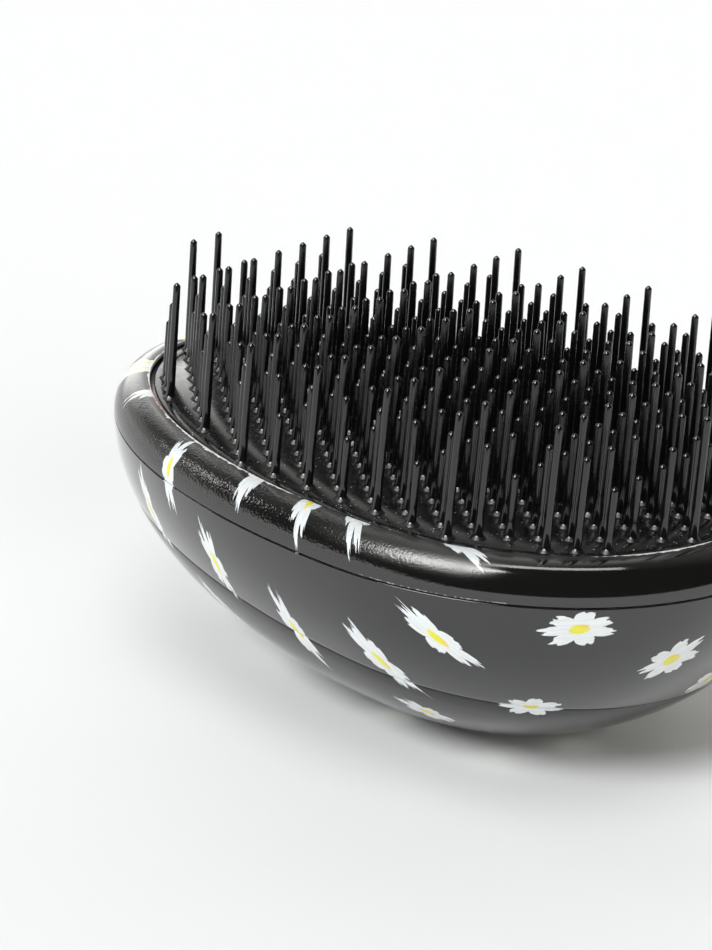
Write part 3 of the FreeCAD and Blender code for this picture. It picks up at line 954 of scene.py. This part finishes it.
# Surroundings. Each ease has a start, an end, and the levels before and after.
ROOM_COLOUR = (1.0, 0.995, 0.97, 1)
ROOM_LEVEL = 0.04
SWEEP_TOWARDS_DEG = 130
SWEEP_WIDE_EASE = (-0.1, 0.8, 0.0, 0.22)
SWEEP_CORE_EASE = (0.82, 0.99, 0.0, 0.78)
SWEEP_LOW_EASE = (0.28, 0.43, 3.2, 0.95)
SWEEP_HIGH_EASE = (0.7, 0.97, 1.0, 0.4)
BAND_TOWARDS_DEG = -150
BAND_TOP_EASE = (0.25, 0.95, 0.0, 0.2)
BAND_EDGE_EASE = (-0.03, 0.03, 1.0, 0.0)
GLINT_TOWARDS = (-169, 31)
GLINT_EASE = (0.992, 0.999, 0.0, 5.0)

# Camera at the photograph's viewing angle
CAMERA_PLACE = (0.22286, -0.32216, 0.18671)
CAMERA_TURN_DEG = (67.921, -3.643, 38.026)
CAMERA_LENS = 114.77
CAMERA_CLIP = (0.01, 50)


def make_floor():
    corners = [(-1, -1), (1, -1), (1, 1), (-1, 1)]
    half = FLOOR_HALF / MM
    floor = mesh_object("floor", [(x * half, y * half, 0) for x, y in corners], [(0, 1, 2, 3)])
    material, graph, shader = new_material("pale_floor")
    grain = graph.noise(graph.place(), FLOOR_GRAIN_SCALE)
    graph.feed(shader.inputs["Base Color"], graph.mix(grain, FLOOR_WHITE, FLOOR_BRIGHT))
    shader.inputs["Roughness"].default_value = FLOOR_ROUGHNESS
    shader.inputs["Specular IOR Level"].default_value = 0.0
    floor.data.materials.append(material)


def direction(azimuth, elevation):
    a, e = math.radians(azimuth), math.radians(elevation)
    return Vector((math.cos(e) * math.cos(a), math.cos(e) * math.sin(a), math.sin(e)))


def new_lamp(name, kind, power, colour):
    light = bpy.data.lights.new(name, kind)
    light.energy = power
    light.color = colour
    lamp = bpy.data.objects.new(name, light)
    lamp.rotation_mode = "QUATERNION"
    bpy.context.scene.collection.objects.link(lamp)
    return lamp


def aim(lamp, towards, turn):
    """Turns a lamp so that it shines from a direction to the brush."""
    lamp.rotation_quaternion = towards.to_track_quat("Z", "Y") @ Quaternion((0, 0, 1), turn)


def make_area(name, place, size, power, turn):
    lamp = new_lamp(name, "AREA", power, GLOSS_COLOUR)
    lamp.data.shape = "RECTANGLE"
    lamp.data.size, lamp.data.size_y = size
    lamp.location = place
    aim(lamp, Vector(place), turn)
    lamp.visible_camera = False
    lamp.visible_diffuse = False


def make_lights():
    """A softbox and a strip for the gloss, and broad lamps without reflections for the rest."""
    place = direction(*SOFTBOX_TOWARDS) * SOFTBOX_DISTANCE
    make_area("softbox", place, SOFTBOX_SIZE, SOFTBOX_POWER, 0.0)
    make_area("strip", OVERHEAD_PLACE, OVERHEAD_SIZE, OVERHEAD_POWER, math.radians(OVERHEAD_TURN_DEG))
    for name, (azimuth, elevation, power, angle, colour) in FILLS.items():
        fill = new_lamp(name, "SUN", power, colour)
        fill.data.angle = math.radians(angle)
        aim(fill, direction(azimuth, elevation), 0.0)
        fill.visible_glossy = False


def make_world():
    """A white sweep behind, a white band and a small bright spot at the left, and a dim room elsewhere."""
    world = bpy.data.worlds.new("studio")
    world.use_nodes = True
    bpy.context.scene.world = world
    graph = Graph(world.node_tree)
    sight = graph.node("ShaderNodeTexCoord").outputs["Generated"]
    split = graph.node("ShaderNodeSeparateXYZ")
    graph.feed(split.inputs[0], sight)
    height = split.outputs[2]
    level_sight = graph.node("ShaderNodeVectorMath", operation="NORMALIZE")
    graph.feed(level_sight.inputs[0], graph.stretch(sight, 1, 1, 0))

    def facing(place, towards):
        made = graph.node("ShaderNodeVectorMath", operation="DOT_PRODUCT")
        graph.feed(made.inputs[0], place)
        made.inputs[1].default_value = towards
        return made.outputs["Value"]

    back = facing(level_sight.outputs[0], direction(SWEEP_TOWARDS_DEG, 0))
    wide = graph.ease(back, *SWEEP_WIDE_EASE)
    side = graph.math("ADD", wide, graph.ease(back, *SWEEP_CORE_EASE))
    low = graph.ease(height, *SWEEP_LOW_EASE)
    rise = graph.math("MULTIPLY", low, graph.ease(height, *SWEEP_HIGH_EASE))
    sweep = graph.math("MULTIPLY", side, rise)
    left = facing(level_sight.outputs[0], direction(BAND_TOWARDS_DEG, 0))
    band_top = graph.ease(left, *BAND_TOP_EASE)
    band = graph.ease(graph.math("SUBTRACT", height, band_top), *BAND_EDGE_EASE)
    glint = graph.ease(facing(sight, direction(*GLINT_TOWARDS)), *GLINT_EASE)
    lit = graph.math("ADD", graph.math("MAXIMUM", sweep, band), glint)
    background = world.node_tree.nodes["Background"]
    background.inputs["Color"].default_value = ROOM_COLOUR
    graph.feed(background.inputs["Strength"], graph.math("ADD", lit, ROOM_LEVEL))


def make_camera():
    camera = bpy.data.cameras.new("camera")
    camera.lens = CAMERA_LENS
    camera.clip_start, camera.clip_end = CAMERA_CLIP
    holder = bpy.data.objects.new("camera", camera)
    holder.location = CAMERA_PLACE
    holder.rotation_euler = [math.radians(turn) for turn in CAMERA_TURN_DEG]
    bpy.context.scene.collection.objects.link(holder)
    bpy.context.scene.camera = holder


make_rim()
make_shell(shell_lacquer("gloss_black_print", SHELL_IOR, 1.0))
make_cover(shell_lacquer("gloss_black_palm", PALM_IOR, 0.0))
make_plate()
make_teeth()
finish_backing()
make_floor()
make_lights()
make_world()
make_camera()
bpy.context.scene.view_settings.view_transform = "Standard"
